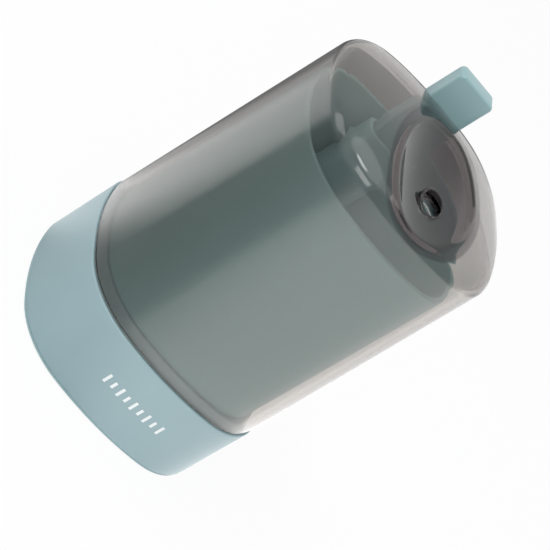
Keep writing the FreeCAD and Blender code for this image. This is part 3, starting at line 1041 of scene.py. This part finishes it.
@dataclass
class Studio:
    """Pale floor, soft lamps, world and the photograph's camera."""

    azimuth: float = 25.32
    elevation: float = 24.94
    roll: float = 0.82
    frame_turn: float = 59.7
    shift_right_mm: float = 5.435
    shift_up_mm: float = 4.591
    distance_mm: float = 666.76
    pivot_mm: float = 47.49
    lens: float = 165.4
    room_colour: tuple[float, float, float, float] = (0.96, 0.98, 1.0, 1.0)
    room_strength: float = 0.55
    floor_white: float = 0.92
    floor_through: float = 0.12
    card_strength: float = 3.0
    card_levels: tuple[tuple[float, float], ...] = (
        (-176.0, 0.08), (-155.0, 0.08), (-147.0, 0.34), (-60.0, 0.76), (-12.0, 0.76),
        (32.0, 0.14), (104.0, 0.14), (132.0, 0.54), (150.0, 0.44), (162.0, 0.24), (172.0, 0.10))

    def axes(self) -> tuple[Vector, Vector, Vector]:
        """Directions of the untilted view.

        Returns:
            Right, up and away.
        """
        a, e = math.radians(self.azimuth), math.radians(self.elevation)
        right = Vector((math.cos(a), -math.sin(a), 0))
        up = Vector((math.sin(a) * math.sin(e), math.cos(a) * math.sin(e), math.cos(e)))
        away = Vector((math.sin(a) * math.cos(e), math.cos(a) * math.cos(e), -math.sin(e)))
        return right, up, away

    def camera(self) -> None:
        """Camera with the view worked out from the object's outline."""
        right, up, away = self.axes()
        r = math.radians(self.roll)
        right_r = right * math.cos(r) - up * math.sin(r)
        up_r = right * math.sin(r) + up * math.cos(r)
        t = math.radians(self.frame_turn)
        photo_right = right_r * math.cos(t) + up_r * math.sin(t)
        photo_up = -right_r * math.sin(t) + up_r * math.cos(t)
        place = (Vector((0, 0, self.pivot_mm)) + right_r * self.shift_right_mm
                 + up_r * self.shift_up_mm - away * self.distance_mm) * MM
        data = bpy.data.cameras.new("photo_camera")
        data.lens = self.lens
        data.sensor_width = 36.0
        data.clip_start = 0.01
        data.clip_end = 20.0
        item = bpy.data.objects.new("photo_camera", data)
        matrix = Matrix.Identity(4)
        for row in range(3):
            matrix[row][0] = photo_right[row]
            matrix[row][1] = photo_up[row]
            matrix[row][2] = -away[row]
            matrix[row][3] = place[row]
        item.matrix_world = matrix
        bpy.context.collection.objects.link(item)
        bpy.context.scene.camera = item

    @staticmethod
    def seen_directly(tree: bpy.types.NodeTree) -> tuple[bpy.types.Node, bpy.types.Node]:
        """Nodes that are one for rays from the camera and mirror-like rays.

        Args:
            tree: The node tree that they go into.

        Returns:
            The ray node, and the node that gives the share, with its second input free.
        """
        rays = add_node(tree, "LightPath")
        first = add_node(tree, "Math", operation="MAXIMUM")
        second = add_node(tree, "Math", operation="MAXIMUM")
        connect(tree, (rays, "Is Camera Ray", first, 0), (rays, "Is Glossy Ray", first, 1),
                (first, 0, second, 0))
        return rays, second

    def floor(self) -> None:
        """Pale floor that reads white and keeps the soft shadow."""
        Bench.clear_selection()
        bpy.ops.mesh.primitive_plane_add(size=8.0, location=(0, 0, 0))
        piece = Bench.name_new("floor")
        material, tree = blank_material("floor_white")
        matt = add_node(tree, "BsdfDiffuse", {"Color": (0.9, 0.9, 0.9, 1.0)})
        glow = add_node(tree, "Emission", {"Color": (1.0, 1.0, 1.0, 1.0)})
        through = add_node(tree, "Math", {1: self.floor_through}, operation="MULTIPLY")
        share = add_node(tree, "Math", {1: self.floor_white}, operation="MULTIPLY")
        mix = add_node(tree, "MixShader")
        rays, seen = self.seen_directly(tree)
        connect(tree,
                (rays, "Is Transmission Ray", through, 0), (through, 0, seen, 1),
                (seen, 0, share, 0), (share, 0, mix, "Fac"), (matt, "BSDF", mix, 1),
                (glow, "Emission", mix, 2),
                (mix, "Shader", tree.nodes["Material Output"], "Surface"))
        piece.data.materials.append(material)

    def world(self) -> None:
        """Even pale world, white where it is seen directly."""
        world = bpy.data.worlds.new("pale_room")
        bpy.context.scene.world = world
        world.use_nodes = True
        tree = world.node_tree
        tree.nodes.clear()
        output = add_node(tree, "OutputWorld")
        white = add_node(tree, "Background", {"Color": (1.0, 1.0, 1.0, 1.0), "Strength": 1.0})
        lit = add_node(tree, "Background", {"Color": self.room_colour,
                                            "Strength": self.room_strength})
        mix = add_node(tree, "MixShader")
        rays, seen = self.seen_directly(tree)
        connect(tree, (rays, "Is Transmission Ray", seen, 1), (seen, 0, mix, "Fac"),
                (lit, "Background", mix, 1), (white, "Background", mix, 2),
                (mix, "Shader", output, "Surface"))

    def lamp(self, name: str, place: tuple[float, float, float],
             aim: tuple[float, float, float], size: tuple[float, float],
             radiance: float) -> None:
        """Soft rectangular lamp.

        Args:
            name: Its name.
            place: Its middle, in metres.
            aim: The point it faces, in metres.
            size: Width and height in metres.
            radiance: Brightness of its face, where white paper in plain light is one.
        """
        data = bpy.data.lights.new(name, "AREA")
        data.shape = "RECTANGLE"
        data.size, data.size_y = size
        data.energy = radiance * math.pi * size[0] * size[1]
        item = bpy.data.objects.new(name, data)
        item.location = place
        direction = Vector(aim) - Vector(place)
        item.rotation_euler = direction.to_track_quat("-Z", "Y").to_euler()
        item.visible_camera = False
        bpy.context.collection.objects.link(item)

    def reflection_card(self) -> None:
        """Low card round the object that only shows as a soft sheen on polished walls."""
        Bench.clear_selection()
        bpy.ops.mesh.primitive_circle_add(vertices=64, radius=0.7, fill_type="TRIFAN",
                                          location=(0, 0, 0.001))
        piece = Bench.name_new("reflection_card")
        Bench.settle(piece)
        material, tree = blank_material("reflection_card")
        place = add_node(tree, "TexCoord")
        parts = add_node(tree, "SeparateXYZ")
        turn = add_node(tree, "Math", operation="ARCTAN2")
        flip = add_node(tree, "VectorMath", {1: (-1.0, -1.0, 1.0)}, operation="MULTIPLY")
        scale = add_node(tree, "MapRange", {"From Min": -math.pi, "From Max": math.pi})
        ramp = add_node(tree, "ValToRGB")
        ramp.color_ramp.interpolation = "EASE"
        stops = ramp.color_ramp.elements
        while len(stops) > 1:
            stops.remove(stops[-1])
        for index, (degrees, level) in enumerate(self.card_levels):
            place_on = (degrees + 180.0) / 360.0
            stop = stops[0] if index == 0 else stops.new(place_on)
            stop.position = place_on
            stop.color = (level, level, level, 1.0)
        glow = add_node(tree, "Emission", {"Strength": self.card_strength})
        connect(tree,
                (place, "Object", flip, 0), (flip, "Vector", parts, 0), (parts, "X", turn, 0),
                (parts, "Y", turn, 1), (turn, 0, scale, "Value"),
                (scale, "Result", ramp, "Fac"), (ramp, "Color", glow, "Color"),
                (glow, "Emission", tree.nodes["Material Output"], "Surface"))
        piece.data.materials.append(material)
        piece.visible_camera = False
        piece.visible_diffuse = False
        piece.visible_shadow = False
        piece.visible_volume_scatter = False

    def build(self) -> None:
        """Set the whole studio up."""
        self.camera()
        self.floor()
        self.world()
        self.reflection_card()
        self.lamp("overhead_soft", (-0.1, -0.1, 1.1), (0, 0, 0.06), (0.9, 0.9), 1.0)
        self.lamp("front_key", (-0.30, -0.95, 0.62), (0, 0, 0.05), (0.55, 0.55), 3.0)
        self.lamp("left_soft", (-0.95, 0.25, 0.55), (0, 0, 0.05), (0.6, 0.6), 1.8)
        self.lamp("edge_accent", (-0.30, -0.36, 1.05), (0, 0, 0.1), (0.34, 0.2), 8.0)
        bpy.context.scene.view_settings.view_transform = "Standard"


def main() -> None:
    """Build the studio, then each sub-assembly."""
    teal = Moulded("base_blue_green", srgb(148, 173, 178), 0.42, 0.03, translucency=0.05)
    store = Moulded("store_blue_green", srgb(148, 186, 187), 0.5, 0.003, 300.0)
    tab = Moulded("tab_blue_green", srgb(143, 175, 178), 0.3, 0.02, translucency=0.08)
    ink = Moulded("white_print", srgb(240, 243, 243), 0.5, 0.02, mottle=0.01)
    Studio().build()
    Base(teal, ink).build()
    Store(store).build()
    PressTab(tab).build()
    Cover(SmokyClear("smoky_clear_plastic")).build()
    ReturnSprings(Metal("drawn_wire", srgb(165, 165, 168), 0.3)).build()
    Works(
        funnel=Moulded("funnel_blue_green", srgb(120, 154, 152), 0.5, 0.05),
        slide=Moulded("natural_slide", srgb(222, 222, 216), 0.42, 0.03),
        plate=Moulded("plate_blue_green", srgb(150, 180, 184), 0.45, 0.08),
        rubber=Moulded("pad_rubber", srgb(48, 48, 50), 0.75, 0.2, 500.0),
        steel=Metal("ground_steel", srgb(190, 190, 193), 0.25),
        bright=Metal("bright_plated", srgb(205, 205, 208), 0.18, 0.05),
        brass=Metal("turned_brass", srgb(200, 168, 96), 0.28),
    ).build()


if __name__ == "__main__":
    main()
